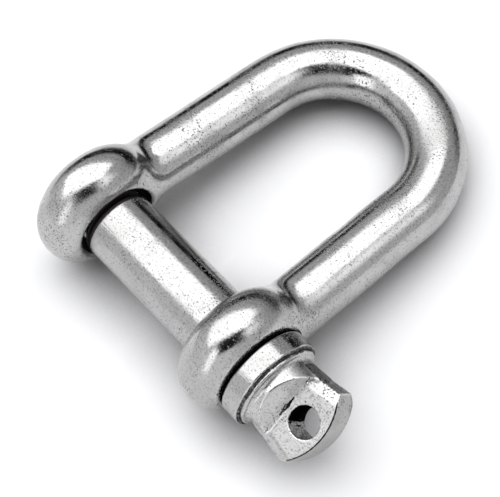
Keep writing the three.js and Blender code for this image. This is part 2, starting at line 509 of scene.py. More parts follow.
class Effect:
    """Shared shader node groups, each built once."""

    _made: dict[str, bpy.types.NodeTree] = {}

    @classmethod
    def _new(
        cls, name: str, inputs: dict[str, float], outputs: tuple[str, ...]
    ) -> tuple[Bench, bpy.types.Node, bpy.types.Node]:
        """Starts a group.

        Args:
            name: Its name.
            inputs: Its inputs and their defaults, besides the place.
            outputs: Its outputs.

        Returns:
            The bench, and the nodes of the group's inputs and outputs.
        """
        tree = bpy.data.node_groups.new(name, "ShaderNodeTree")
        tree.interface.new_socket("Place", in_out="INPUT", socket_type="NodeSocketVector")
        for key, default in inputs.items():
            socket = tree.interface.new_socket(key, in_out="INPUT", socket_type="NodeSocketFloat")
            socket.default_value = default
        for key in outputs:
            tree.interface.new_socket(key, in_out="OUTPUT", socket_type="NodeSocketFloat")
        bench = Bench(tree)
        return bench, bench.add("NodeGroupInput"), bench.add("NodeGroupOutput")

    @classmethod
    def use(cls, bench: Bench, name: str, **inputs: object) -> bpy.types.Node:
        """Places a group in a material, and builds it the first time.

        Args:
            bench: The material's bench.
            name: Which group.
            **inputs: Values or sockets for its inputs.

        Returns:
            The group's node.
        """
        if name not in cls._made:
            cls._made[name] = getattr(cls, "_" + name)()
        node = bench.add("ShaderNodeGroup", {"node_tree": cls._made[name]})
        for key, value in inputs.items():
            bench.feed(node.inputs[key.replace("_", " ")], value)
        return node

    @classmethod
    def _pits(cls) -> bpy.types.NodeTree:
        """Small dark pits left by the forge, in loose clusters.

        Returns:
            The group's tree.
        """
        bench, inner, outer = cls._new(
            "forge_pits", {"Scale": 2600.0, "Cluster Scale": 60.0, "Amount": 0.4}, ("Mask", "Height")
        )
        place = inner.outputs["Place"]
        specks = bench.noise(place, inner.outputs["Scale"], 2.0, 0.55)
        cluster = bench.noise(place, inner.outputs["Cluster Scale"], 5.0, 0.65, 0.5)
        crowded = bench.remap(cluster, start=0.42, end=0.68)
        spread = bench.maths("MULTIPLY", crowded, inner.outputs["Amount"])
        level = bench.maths("MULTIPLY_ADD", spread, 0.2, specks)
        mask = bench.remap(level, start=0.66, end=0.74)
        bench.feed(outer.inputs["Mask"], mask)
        bench.feed(outer.inputs["Height"], bench.maths("MULTIPLY", mask, -1.0))
        return bench.tree

    @classmethod
    def _clouds(cls) -> bpy.types.NodeTree:
        """Soft uneven patches of polish.

        Returns:
            The group's tree.
        """
        bench, inner, outer = cls._new(
            "polish_clouds", {"Scale": 110.0, "Grain Scale": 2400.0}, ("Patches", "Grain")
        )
        place = inner.outputs["Place"]
        patches = bench.noise(place, inner.outputs["Scale"], 5.0, 0.6, 0.6)
        grain = bench.noise(place, inner.outputs["Grain Scale"], 4.0, 0.6)
        bench.feed(outer.inputs["Patches"], bench.remap(patches, start=0.3, end=0.7))
        bench.feed(outer.inputs["Grain"], grain)
        return bench.tree

    @classmethod
    def _scuffs(cls) -> bpy.types.NodeTree:
        """Fine hairline scuffs in two directions, worn through in places.

        Returns:
            The group's tree.
        """
        bench, inner, outer = cls._new(
            "hairline_scuffs", {"Scale": 700.0, "Amount": 0.5}, ("Mask",)
        )
        lines = []
        for angle, stretch in ((0.5, 14.0), (-0.9, 9.0)):
            mapped = bench.add("ShaderNodeMapping", None, Vector=inner.outputs["Place"])
            mapped.inputs["Rotation"].default_value = (angle, 0.7 * angle, angle)
            mapped.inputs["Scale"].default_value = (1.0, stretch, stretch)
            scale = bench.maths("DIVIDE", inner.outputs["Scale"], stretch / 2)
            strand = bench.noise(mapped.outputs["Vector"], scale, 2.0, 0.5)
            lines.append(bench.remap(strand, start=0.64, end=0.72))
        worn = bench.noise(inner.outputs["Place"], 120.0, 3.0)
        worn = bench.remap(worn, start=0.45, end=0.65)
        both = bench.maths("MAXIMUM", *lines)
        kept = bench.maths("MULTIPLY", both, worn)
        bench.feed(outer.inputs["Mask"], bench.maths("MULTIPLY", kept, inner.outputs["Amount"]))
        return bench.tree


# ------------------------------------------------------------------ finishes
@dataclass(frozen=True)
class Steel:
    """A worn stainless finish.

    Attributes:
        name: The material's name.
        colour: Colour of the clean metal.
        stain: Colour of the dulled patches.
        grime_and_shade: Colour of what is left in pits and hollows.
        polish: Roughness of the brightest places.
        dulled: Roughness of the dullest places.
        pits: Share of places that are pitted.
        pit_scale: How fine the pits are.
        pit_depth: Depth of the pits, in metres.
        grain_depth: Height of the fine grain, in metres.
        lathe_lines: Height of the turning marks about the pin, in metres.
        stain_share: How strongly the dulled patches take the stain's colour.
        rim_share: How strongly worn rims are brightened.
        rim_lift: How much brighter than the clean metal a worn rim is.
        grain_share: How strongly the grain's hollows take the dark colour.
        pit_share: How strongly the pits take it.
        scuff_dulling: Roughness that a scuff adds.
        pit_dulling: Roughness that a pit adds.
        hollow_dulling: Roughness that the painted shade and dirt in a hollow add.
        shade_dulling: Roughness that the painted shade and dark marks add.
        shade_tint: Tint of the edge reflections where painted shade and dark marks lie.
    """

    name: str
    colour: tuple[float, float, float]
    stain: tuple[float, float, float]
    grime_and_shade: tuple[float, float, float]
    polish: float
    dulled: float
    pits: float
    pit_scale: float
    pit_depth: float
    grain_depth: float
    lathe_lines: float = 0.0
    stain_share: float = 0.75
    rim_share: float = 0.6
    rim_lift: float = 1.18
    grain_share: float = 0.45
    pit_share: float = 0.7
    scuff_dulling: float = 0.16
    pit_dulling: float = 0.3
    hollow_dulling: float = 0.25
    shade_dulling: float = 0.3
    shade_tint: tuple[float, float, float, float] = (0.05, 0.05, 0.05, 1)

    def material(self) -> bpy.types.Material:
        """Makes the material.

        Returns:
            The finished material.
        """
        material = bpy.data.materials.new(self.name)
        material.use_nodes = True
        material.node_tree.nodes.clear()
        bench = Bench(material.node_tree)
        place = bench.place()
        clouds = Effect.use(bench, "clouds", Place=place)
        pits = Effect.use(
            bench, "pits", Place=place, Scale=self.pit_scale, Cluster_Scale=90.0, Amount=self.pits
        ).outputs
        scuffs = Effect.use(bench, "scuffs", Place=place).outputs["Mask"]
        rim = bench.painted(RIM_WEAR)
        hollow = bench.painted(HOLLOW_SHADE_AND_GRIME)
        shade_and_marks = bench.painted(SHADE_AND_MARKS)
        patches = clouds.outputs["Patches"]
        grain = clouds.outputs["Grain"]
        grime_and_shade = (*self.grime_and_shade, 1)

        stained = bench.maths("MULTIPLY", patches, self.stain_share)
        base = bench.blend(stained, (*self.colour, 1), (*self.stain, 1))
        bright = tuple(min(1.0, self.rim_lift * part) for part in self.colour)
        base = bench.blend(bench.maths("MULTIPLY", rim, self.rim_share), base, (*bright, 1))
        base = bench.blend(bench.remap(grain, 0.5, 0.3, 0.0, self.grain_share), base, grime_and_shade)
        # Painted shade and dirt: hollows, bore walls and the head's bevelled side are darkened towards
        # the dark colour.
        ragged = bench.remap(grain, 0.3, 0.62)
        soiled_and_shaded = bench.maths("MULTIPLY", hollow, bench.maths("ADD", ragged, 0.35), clamp=True)
        base = bench.blend(soiled_and_shaded, base, grime_and_shade)
        # Painted shade and dark marks: the painted dark places take the dark colour.
        shade_and_marks_share = bench.remap(bench.maths("MULTIPLY_ADD", grain, 0.6, shade_and_marks), 0.62, 0.9)
        base = bench.blend(shade_and_marks_share, base, grime_and_shade)
        base = bench.blend(bench.maths("MULTIPLY", pits["Mask"], self.pit_share), base, grime_and_shade)

        rough = bench.remap(patches, 0.0, 1.0, self.polish, self.dulled)
        rough = bench.maths("ADD", rough, bench.remap(grain, 0.3, 0.7, -0.03, 0.05))
        for mask, dulling in (
            (scuffs, self.scuff_dulling),
            (pits["Mask"], self.pit_dulling),
            (hollow, self.hollow_dulling),
            (shade_and_marks_share, self.shade_dulling),
        ):
            rough = bench.maths("MULTIPLY_ADD", mask, dulling, rough)
        rough = bench.maths("MINIMUM", rough, 1.0)

        height = bench.maths("MULTIPLY", pits["Height"], self.pit_depth)
        peel = bench.maths("MULTIPLY", grain, bench.maths("ADD", patches, 0.35))
        height = bench.maths("MULTIPLY_ADD", peel, self.grain_depth, height)
        height = bench.maths("MULTIPLY_ADD", scuffs, -self.grain_depth, height)
        if self.lathe_lines:
            across = bench.add("ShaderNodeSeparateXYZ", None, Vector=place).outputs["X"]
            turns = bench.add("ShaderNodeTexNoise", {"noise_dimensions": "1D"}, W=across, Scale=3500.0)
            height = bench.maths("MULTIPLY_ADD", turns.outputs["Fac"], self.lathe_lines, height)
        bump = bench.add("ShaderNodeBump", None, Strength=1.0, Distance=1.0, Height=height)

        metal = bench.add("ShaderNodeBsdfPrincipled", None, Base_Color=base, Roughness=rough)
        metal.inputs["Metallic"].default_value = 1.0
        # Painted shade: the edge reflections are dimmed on the painted dark places.
        edge = bench.blend(shade_and_marks_share, (1, 1, 1, 1), self.shade_tint)
        bench.feed(metal.inputs["Specular Tint"], edge)
        bench.feed(metal.inputs["Normal"], bump.outputs["Normal"])
        bench.add("ShaderNodeOutputMaterial", None, Surface=metal.outputs["BSDF"])
        return material


class Finish(Enum):
    """The finishes of this shackle."""

    FORGED = Steel(
        name="forged_steel",
        colour=(0.5, 0.498, 0.492),
        stain=(0.38, 0.377, 0.37),
        grime_and_shade=(0.035, 0.034, 0.032),
        polish=0.12,
        dulled=0.26,
        pits=0.6,
        pit_scale=2900.0,
        pit_depth=0.00003,
        grain_depth=0.000022,
    )
    TURNED = Steel(
        name="turned_steel",
        colour=(0.455, 0.452, 0.446),
        stain=(0.36, 0.357, 0.35),
        grime_and_shade=(0.04, 0.038, 0.036),
        polish=0.11,
        dulled=0.22,
        pits=0.5,
        pit_scale=3000.0,
        pit_depth=0.00003,
        grain_depth=0.000022,
        lathe_lines=0.0000012,
    )
    HEAD = Steel(
        name="forged_head_steel",
        colour=(0.52, 0.517, 0.51),
        stain=(0.41, 0.407, 0.4),
        grime_and_shade=(0.014, 0.0135, 0.013),
        polish=0.19,
        dulled=0.31,
        pits=0.55,
        pit_scale=2600.0,
        pit_depth=0.00003,
        grain_depth=0.00003,
    )
    SHEARED = Steel(
        name="sheared_steel",
        colour=(0.42, 0.417, 0.405),
        stain=(0.33, 0.327, 0.317),
        grime_and_shade=(0.06, 0.058, 0.054),
        polish=0.36,
        dulled=0.46,
        pits=1.0,
        pit_scale=3200.0,
        pit_depth=0.00003,
        grain_depth=0.00004,
    )


# ------------------------------------------------------------------ forged body
@dataclass(frozen=True)
class ForgedBody:
    """The bow and its two eyes, in one forging.

    Attributes:
        eye: Outer radius of an eye.
        eye_centre: From the middle plane to the middle of an eye.
        leg_gap: From the middle plane to a leg's centre line, at its eye.
        crown_centre: From the pin's axis to the crown's centre.
        bore: Radius of the plain bore.
        thread_core: Radius of the threaded bore's crests.
        thread_depth: Depth of its thread.
        pitch: Pitch of the thread.
        rod: Radius of the bar.
        crown: Radius of the crown's centre line.
        fillet: Fillet between a leg and its eye.
        easing: Rounding of the bores' rims.
        mouth_flare: How much wider than the bore the threaded eye's mouth is.
        spot_radius: Radius of the flat where the collar bears.
        spot_depth: How deep that flat is cut into the rounded eye.
        countersink: Depth of the countersink at the threaded eye's outer face.
        face_ease: How softly the eyes' faces end.
        swell: Height of the forging's gentle waves.
        swell_length: Length of one wave.
        rim_curve: Curvatures where a rim starts to be worn, and is fully worn.
        hollow_curve: Curvatures where a hollow starts to take painted shade and dirt, and is fully
            dark.
        bore_shade: Painted shade on the bores' walls.
        wall_reach: How far past the bore's radius its wall is taken to reach.
        mark_inset: How far inside their edges the places of painted shade stop.
        mark_fade: How far the seat's ring of painted shade fades.
        thin_shade: How far past the bore the threaded mouth is painted dark, as painted shade, away
            from the crown.
        mouth_shade: How dark the painted shade in the threaded mouth is.
        cell: Size of a grid cell.
    """

    eye: float
    eye_centre: float
    leg_gap: float
    crown_centre: float
    bore: float
    thread_core: float
    thread_depth: float
    pitch: float
    rod: float = BAR
    crown: float = CROWN
    fillet: float = 2.4
    easing: float = 0.55
    mouth_flare: float = 1.1
    spot_radius: float = 9.5
    spot_depth: float = 0.7
    countersink: float = 0.4
    face_ease: float = 1.0
    swell: float = 0.05
    swell_length: float = 15.0
    rim_curve: tuple[float, float] = (0.6, 2.2)
    hollow_curve: tuple[float, float] = (0.35, 0.95)
    bore_shade: float = 0.6
    wall_reach: float = 0.3
    mark_inset: float = 0.1
    mark_fade: float = 0.15
    thin_shade: float = 0.35
    mouth_shade: float = 0.8
    cell: float = 0.3

    def _bar(self, x: np.ndarray, y: np.ndarray, z: np.ndarray) -> np.ndarray:
        """Gives the distance to the bar that is bent into the bow.

        Args:
            x: Places along the pin.
            y: Places from the pin towards the crown.
            z: Places out of the bow's plane.

        Returns:
            Distance to the bar.
        """
        side = np.abs(x)
        reach = math.hypot(self.leg_gap, self.crown_centre)
        foot = math.atan2(-self.crown_centre, self.leg_gap)
        tangent = foot + math.acos(self.crown / reach)
        ray = (math.cos(tangent), math.sin(tangent))
        meet = (self.crown * ray[0], self.crown_centre + self.crown * ray[1])
        length = math.hypot(meet[0] - self.leg_gap, meet[1])
        down = ((self.leg_gap - meet[0]) / length, -meet[1] / length)
        along = np.clip((side - meet[0]) * down[0] + (y - meet[1]) * down[1], 0, length)
        to_leg = np.hypot(side - meet[0] - along * down[0], y - meet[1] - along * down[1])
        above = side * down[0] + (y - self.crown_centre) * down[1] < 0
        to_arc = np.abs(np.hypot(side, y - self.crown_centre) - self.crown)
        flat = np.where(above, np.minimum(to_arc, to_leg), to_leg)
        return np.hypot(flat, z) - self.rod

    def _eye(self, x: np.ndarray, r: np.ndarray) -> np.ndarray:
        """Gives the distance to the two eyes, as thick discs with fully rounded rims."""
        ring = self.eye - self.rod
        return np.hypot(np.maximum(r - ring, 0), np.abs(x) - self.eye_centre) - self.rod

    def _plain_bore(self, x: np.ndarray, r: np.ndarray) -> np.ndarray:
        """Gives the distance to the tool that bores the near eye.

        Args:
            x: Places along the pin.
            r: Distances from the pin's axis.

        Returns:
            Distance to the tool.
        """
        bore = np.maximum(r - self.bore, self.eye_centre - 2 * self.rod - x)
        face = self.eye_centre + self.rod - self.spot_depth
        spot = np.maximum(r - self.spot_radius, face - x)
        return np.minimum(bore, spot)

    def _threaded_bore(self, x: np.ndarray, y: np.ndarray, z: np.ndarray, r: np.ndarray) -> np.ndarray:
        """Gives the distance to the tap and countersinks that cut the far eye.

        Args:
            x: Places along the pin.
            y: Places from the pin towards the crown.
            z: Places out of the bow's plane.
            r: Distances from the pin's axis.

        Returns:
            Distance to the tools.
        """
        root = self.thread_core + self.thread_depth
        groove = screw_outline(x, y, z, self.pitch, root, self.thread_core, root)
        tap = np.maximum((r - groove) * STEEPNESS, x + self.eye_centre - 2 * self.rod)
        mouth = self.eye_centre - self.rod
        lead = (r - self.bore - self.mouth_flare - mouth - x) * SLANT
        lead = np.maximum(lead, x + mouth - OVERLAP)
        outer_start = self.countersink - self.eye_centre - self.rod
        outer = (r - self.bore + x - outer_start) * SLANT
        return np.minimum(np.minimum(tap, lead), outer)

    def field(self, x: np.ndarray, y: np.ndarray, z: np.ndarray) -> np.ndarray:
        """Gives the distance to the whole forging.

        Args:
            x: Places along the pin.
            y: Places from the pin towards the crown.
            z: Places out of the bow's plane.

        Returns:
            Distance to the surface, less than 0 inside.
        """
        r = np.hypot(y, z)
        bar = self._bar(x, y, z)
        solid = smooth_join(bar, self._eye(x, r), self.fillet)
        solid = smooth_keep(solid, np.abs(x) - self.eye_centre - self.rod, self.face_ease)
        solid = solid - self.swell * (waviness(x, y, z, self.swell_length, seed=1.7) - 1)
        solid = smooth_cut(solid, self._plain_bore(x, r), self.easing)
        return smooth_cut(solid, self._threaded_bore(x, y, z, r), self.easing)

    def _dark_places(self, x: np.ndarray, y: np.ndarray, r: np.ndarray) -> np.ndarray:
        """Gives the painted shade where the pin keeps the body dark: the collar's seat and the threaded
        mouth.

        Args:
            x: Places along the pin.
            y: Places from the pin towards the crown.
            r: Distances from the pin's axis.

        Returns:
            How dark each place is, from 0 to 1.
        """
        face = self.eye_centre + self.rod - self.spot_depth
        edge = self.spot_radius - self.mark_inset
        seat = (x > face - self.mark_inset) * ramp(edge - r, 0, self.mark_fade)
        deepest = self.mouth_flare - self.mark_inset
        towards_crown = np.clip(0.5 + y / self.bore, 0, 1)
        shaded = self.thin_shade + (deepest - self.thin_shade) * towards_crown
        mouth = (r < self.bore + shaded) & (x < 0) & (x > -self.eye_centre)
        return np.maximum(seat, self.mouth_shade * mouth)

    def build(self, lie: Lie) -> bpy.types.Object:
        """Builds and dresses the body.

        Args:
            lie: Where the shackle lies.

        Returns:
            The finished piece.
        """
        outer = self.eye_centre + self.rod
        top = self.crown_centre + self.crown + self.rod
        mesher = Mesher((-outer, -self.eye, -self.eye), (outer, top, self.eye), self.cell)
        piece, points, curve = mesher.build("forged_body", self.field, lie)
        x, y, z = points.T
        r = np.hypot(y, z)
        # Painted shade on the bores' walls, and painted shade and dirt in the hollows.
        wall = (r < self.bore + self.wall_reach) & (np.abs(x) > self.eye_centre - self.rod - OVERLAP)
        paint(piece, RIM_WEAR, ramp(curve, *self.rim_curve))
        paint(piece, HOLLOW_SHADE_AND_GRIME, np.maximum(ramp(-curve, *self.hollow_curve), self.bore_shade * wall))
        # Painted shade in the collar's seat and the threaded mouth.
        paint(piece, SHADE_AND_MARKS, self._dark_places(x, y, r))
        piece.data.materials.append(Finish.FORGED.value.material())
        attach(piece, "shackle")
        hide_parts("shackle_body")
        return piece


# ------------------------------------------------------------------ screw pin
@dataclass(frozen=True)
class Crease:
    """The chipped crease where the head's slopes meet its flats.

    Attributes:
        back: How far its middle lies behind the step.
        out: How far its middle stands off the flats.
        width: Its half width where it is widest.
        middle: Where it is widest, across the head.
        reach: How far the wide part reaches to either side.
        chips: Size of its chips.
        chip_length: Rough length of a chip.
        line: Half width of its dark line of painted shade.
        line_middle: Where that line is widest, across the head.
        line_reach: How far the line's wide part reaches to either side.
        ragged: Share of the line's width that varies.
        faint: Darkness of the line's far half.
        faint_reach: How far that half reaches from the head's middle.
        strong: Darkness that the middle adds.
        strong_middle: Where the line is darkest, across the head.
        strong_reach: How far the dark part reaches to either side.
    """

    back: float = 0.05
    out: float = 0.1
    width: float = 0.34
    middle: float = -0.2
    reach: float = 1.5
    chips: float = 0.1
    chip_length: float = 0.9
    line: float = 0.14
    line_middle: float = 0.4
    line_reach: float = 1.2
    ragged: float = 0.4
    faint: float = 0.35
    faint_reach: float = 4.0
    strong: float = 0.6
    strong_middle: float = 0.6
    strong_reach: float = 1.8

    def distance(
        self, x: np.ndarray, w: np.ndarray, n: np.ndarray, step: float, half: float
    ) -> np.ndarray:
        """Gives the distance to the groove.

        Args:
            x: Places along the pin.
            w: Places across the head's width.
            n: Places across its thickness.
            step: Where the flats start.
            half: Half the head's thickness.

        Returns:
            Distance to the groove.
        """
        chips = self.chips * waviness(x, w, n, self.chip_length, seed=0.4)
        size = chips + self.width * near(w, self.middle, self.reach)
        return np.hypot(x - step + self.back, np.abs(n) - half - self.out) - size

    def darkness(self, x: np.ndarray, w: np.ndarray, n: np.ndarray, step: float) -> np.ndarray:
        """Gives how dark the flats are painted along the groove, as painted shade, from 0 to 1.

        Args:
            x: Places along the pin.
            w: Places across the head's width.
            n: Places across the head's thickness.
            step: Where the flats start.

        Returns:
            How dark each place is.
        """
        wander = waviness(x, w, n, self.chip_length, seed=1.9)
        ragged = 1 - self.ragged + self.ragged * wander
        width = self.line + self.width * near(w, self.line_middle, self.line_reach) * ragged
        dark = self.faint * ramp(w, -self.faint_reach, 0)
        dark = dark + self.strong * near(w, self.strong_middle, self.strong_reach)
        return dark * near(x, step + self.chips * wander, width)


@dataclass(frozen=True)
class PinWear:
    """Where the pin is worn, holds dirt, and is painted dark as painted shade. Sizes are in mm, and
    darkness is from 0 to 1.

    Attributes:
        rim_curve: Curvatures where a rim starts to be worn, and is fully worn.
        hollow_curve: Curvatures where a hollow starts to take painted shade and dirt, and is fully
            dark.
        edge: How near to a face or an edge a place still counts as on it.
        side_shade: Painted shade, in streaks, on the head's bevelled side.
        side_shade_spread: How much that painted shade varies between its streaks.
        side_reach: How far inside the waist the bevelled side is taken to start.
        bevel_reach: How far past the bevel it is taken to reach.
        ring: Darkness of the painted shade along the join in front of the collar.
        ring_width: Half width of that line.
        end_line: Darkness of the line along the head's curved end.
        end_inset: How far that line lies inside the end.
        end_width: Its half width.
        hole: Darkness of the painted shade in the cross hole.
        hole_rim: How far past the hole's wall the darkness reaches.
        hole_light: Where the light that falls into the hole starts, across the head.
        hole_fade: How far that light fades.
        hole_ragged: How uneven it is.
        least_hole: Share of the darkness that is left in the light.
        behind: How far up the collar its back is painted dark, as painted shade.
        behind_fade: How far that fades.
        entry: How far past its start the shank is painted dark, as painted shade where it enters the
            threaded eye.
        entry_fade: How far that fades.
        entry_depth: How far before the shank's start the darkness begins.
        entry_dark: How dark it is.
    """

    rim_curve: tuple[float, float] = (0.9, 3.4)
    hollow_curve: tuple[float, float] = (0.6, 2.2)
    edge: float = 0.3
    side_shade: float = 0.7
    side_shade_spread: float = 0.25
    side_reach: float = 0.5
    bevel_reach: float = 0.1
    ring: float = 0.55
    ring_width: float = 0.4
    end_line: float = 0.8
    end_inset: float = 0.1
    end_width: float = 0.16
    hole: float = 0.9
    hole_rim: float = 0.06
    hole_light: float = -2.4
    hole_fade: float = 0.8
    hole_ragged: float = 0.9
    least_hole: float = 0.5
    behind: float = 0.25
    behind_fade: float = 0.15
    entry: float = 0.65
    entry_fade: float = 0.35
    entry_depth: float = 1.2
    entry_dark: float = 0.85


@dataclass(frozen=True)
class ScrewPin:
    """The pin: thread, shank, collar, neck and drilled flat head, in one forging.

    Attributes:
        shank: Radius of the plain shank.
        tip: Where the pin's tip is, along the pin.
        shank_start: Where the plain shank starts.
        collar_start: Where the collar starts.
        collar_end: Where the collar ends.
        collar: Radius of the collar.
        crest: Radius of the thread's crests.
        thread_depth: Depth of the thread.
        pitch: Pitch of the thread.
        head_turn: Angle that the head stands turned by, in radians.
        thickness: Across the two flats of the head.
        step: Where the slopes end and the flats start.
        slope_start: Where the slopes start.
        corner_place: Where the corners are, along the pin.
        hole_place: Where the cross hole is, along the pin.
        neck: Radius of the neck where the slopes start.
        waist: Half the flats' width at the step.
        corner: Half the flats' width at the corners.
        end_bulge: How far the curved end stands past the corners.
        side_bulge: How far the sides bulge between the flats.
        hole: Radius of the cross hole.
        lip: Thickness of the thin lip in front of the collar.
        lip_inset: How much smaller than the collar's radius the lip's is.
        seat: How far the collar reaches into the eye's spot face.
        bevel: How deep the head's edges are bevelled.
        tab_shift: How far the flat head stands off the pin's axis.
        crest_flat: How much is cut off the thread's crests.
        tip_chamfer: Size of the chamfer at the tip.
        side_steepness: Keeps the sides' field from growing faster than distance does.
        hole_lip: Size of the cross hole's chamfer.
        groove: Radius of the rough groove between the collar and the lip.
        groove_out: How far outside the lip's radius that groove's middle is.
        groove_roughness: Roughness of that groove.
        lip_roughness: Roughness of the lip's edge.
        swell: Height of the collar's gentle waves.
        swell_length: Length of one wave.
        tab_fillet: Fillet between the neck and the flat head.
        neck_fillet: Fillet between the collar and the neck.
        collar_ease: Rounding of the collar's rims.
        tab_ease: Rounding of the flat head's edges.
        end_ease: Rounding of the head's curved end, and of the shank's start.
        lip_ease: Rounding of the lip.
        tip_ease: Rounding of the tip, and of the neck's slopes.
        cut_ease: Rounding of the groove and the chamfers.
        fine_ease: Rounding of the finest edges.
        hole_ease: Rounding of the cross hole's edge.
        sheared_depth: Thickness of the sheared end's own finish.
        crease: The crease across the head.
        wear: Where the pin is worn and dark.
        grid_margin: How far past the collar the grid reaches.
        cell: Size of a grid cell.
    """

    shank: float
    tip: float
    shank_start: float
    collar_start: float
    collar_end: float
    collar: float
    crest: float
    thread_depth: float
    pitch: float
    head_turn: float
    thickness: float
    step: float
    slope_start: float
    corner_place: float
    hole_place: float
    neck: float = 7.4
    waist: float = 5.65
    corner: float = 6.75
    end_bulge: float = END_BULGE
    side_bulge: float = 1.65
    hole: float = 2.95
    lip: float = 0.7
    lip_inset: float = 0.85
    seat: float = 0.4
    bevel: float = 1.1
    tab_shift: float = 0.3
    crest_flat: float = 0.15
    tip_chamfer: float = 1.3
    side_steepness: float = 0.85
    hole_lip: float = 0.1
    groove: float = 0.24
    groove_out: float = 0.3
    groove_roughness: float = 0.1
    lip_roughness: float = 0.15
    swell: float = 0.05
    swell_length: float = 7.0
    tab_fillet: float = 0.8
    neck_fillet: float = 1.1
    collar_ease: float = 0.55
    tab_ease: float = 0.5
    end_ease: float = 0.35
    lip_ease: float = 0.34
    tip_ease: float = 0.3
    cut_ease: float = 0.2
    fine_ease: float = 0.15
    hole_ease: float = 0.12
    sheared_depth: float = 0.06
    crease: Crease = Crease()
    wear: PinWear = PinWear()
    grid_margin: float = 0.2
    cell: float = 0.22

    def _across(self, y: np.ndarray, z: np.ndarray) -> tuple[np.ndarray, np.ndarray]:
        """Gives the places across the head's width and across its thickness.

        Args:
            y: Places from the pin towards the crown.
            z: Places out of the bow's plane.

        Returns:
            Both sets of places.
        """
        c = math.cos(self.head_turn)
        s = math.sin(self.head_turn)
        return y * c + z * s, z * c - y * s

    def _thread(self, x: np.ndarray, y: np.ndarray, z: np.ndarray, r: np.ndarray) -> np.ndarray:
        """Gives the distance to the threaded end, with its chamfered tip.

        Args:
            x: Places along the pin.
            y: Places from the pin towards the crown.
            z: Places out of the bow's plane.
            r: Distances from the pin's axis.

        Returns:
            Distance to the threaded end.
        """
        peak = self.crest + self.crest_flat
        outline = screw_outline(x, y, z, self.pitch, peak, self.crest - self.thread_depth, self.crest)
        body = (r - outline) * STEEPNESS
        chamfer = (r - self.crest + self.tip_chamfer - (x - self.tip)) * SLANT
        body = smooth_keep(body, chamfer, self.cut_ease)
        body = smooth_keep(body, self.tip - x, self.tip_ease)
        return np.maximum(body, x - self.shank_start - OVERLAP)

    def _end_arc(self) -> tuple[float, float]:
        """Gives the middle, along the pin, and the radius of the head's curved end."""
        arc = (self.corner**2 + self.end_bulge**2) / (2 * self.end_bulge)
        return self.corner_place + self.end_bulge - arc, arc

    def _head(self, x: np.ndarray, y: np.ndarray, z: np.ndarray, r: np.ndarray) -> np.ndarray:
        """Gives the distance to the neck and the flat head.

        Args:
            x: Places along the pin.
            y: Places from the pin towards the crown.
            z: Places out of the bow's plane.
            r: Distances from the pin's axis.

        Returns:
            Distance to the neck and head.
        """
        w, n = self._across(y, z)
        half = self.thickness / 2
        drop = self.neck - half
        run = self.step - self.slope_start
        slope = ((x - self.slope_start) * drop + (np.abs(n) - self.neck) * run) / math.hypot(drop, run)
        neck = smooth_keep(r - self.neck, slope, self.tip_ease)
        neck = np.maximum(neck, x - self.step - 2 * OVERLAP)
        flare = (self.corner - self.waist) / (self.corner_place - self.step)
        bulge = self.side_bulge * np.minimum((half - np.abs(n)) / self.bevel, 1)
        width = self.waist + flare * (x - self.step) + bulge
        side = (np.abs(w + self.tab_shift) - width) * self.side_steepness
        tab = smooth_keep(np.abs(n) - half, side, self.tab_ease)
        tab = smooth_keep(tab, self.step - 3 * OVERLAP - x, self.cut_ease)
        head = smooth_join(neck, tab, self.tab_fillet)
        middle, arc = self._end_arc()
        head = smooth_keep(head, np.hypot(x - middle, w) - arc, self.end_ease)
        head = np.maximum(head, self.collar_end - x)
        crease = self.crease.distance(x, w, n, self.step, half)
        head = smooth_cut(head, crease, self.fine_ease)
        drill = np.hypot(x - self.hole_place, w) - self.hole
        countersink = (drill + half - self.hole_lip - np.abs(n)) * SLANT
        return smooth_cut(head, np.minimum(drill, countersink), self.hole_ease)

    def _collar(self, x: np.ndarray, y: np.ndarray, z: np.ndarray, r: np.ndarray) -> np.ndarray:
        """Gives the distance to the collar and to the rough lip in front of it.

        Args:
            x: Places along the pin.
            y: Places from the pin towards the crown.
            z: Places out of the bow's plane.
            r: Distances from the pin's axis.

        Returns:
            Distance to the collar and lip.
        """
        back = self.collar_start - self.seat
        collar = turned_slug(x, r, back, self.collar_end, self.collar, self.collar_ease)
        collar = collar - self.swell * (waviness(x, y, z, self.swell_length, seed=3.3) - 1)
        angle = np.arctan2(z, y)
        ragged = waviness(3 * np.cos(2 * angle), 9 * angle, x, 3.1, seed=0.9)
        rough = waviness(x, 4 * y, 4 * z, 3.0, seed=2.2)
        radius = self.collar - self.lip_inset
        start = self.collar_end - OVERLAP
        end = self.collar_end + self.lip
        lip = turned_slug(x, r - self.lip_roughness * ragged, start, end, radius, self.lip_ease)
        groove = np.hypot(x - self.collar_end, r - radius - self.groove_out) - self.groove
        groove = groove - self.groove_roughness * (ragged + 0.8 * rough)
        return smooth_cut(smooth_join(collar, lip, self.fine_ease), groove, self.cut_ease)

    def field(self, x: np.ndarray, y: np.ndarray, z: np.ndarray) -> np.ndarray:
        """Gives the distance to the whole pin.

        Args:
            x: Places along the pin.
            y: Places from the pin towards the crown.
            z: Places out of the bow's plane.

        Returns:
            Distance to the surface, less than 0 inside.
        """
        r = np.hypot(y, z)
        shank_end = self.collar_start + OVERLAP
        shank = turned_slug(x, r, self.shank_start, shank_end, self.shank, self.end_ease)
        solid = np.minimum(self._thread(x, y, z, r), shank)
        solid = smooth_join(solid, self._collar(x, y, z, r), self.fine_ease)
        return smooth_join(solid, self._head(x, y, z, r), self.neck_fillet)

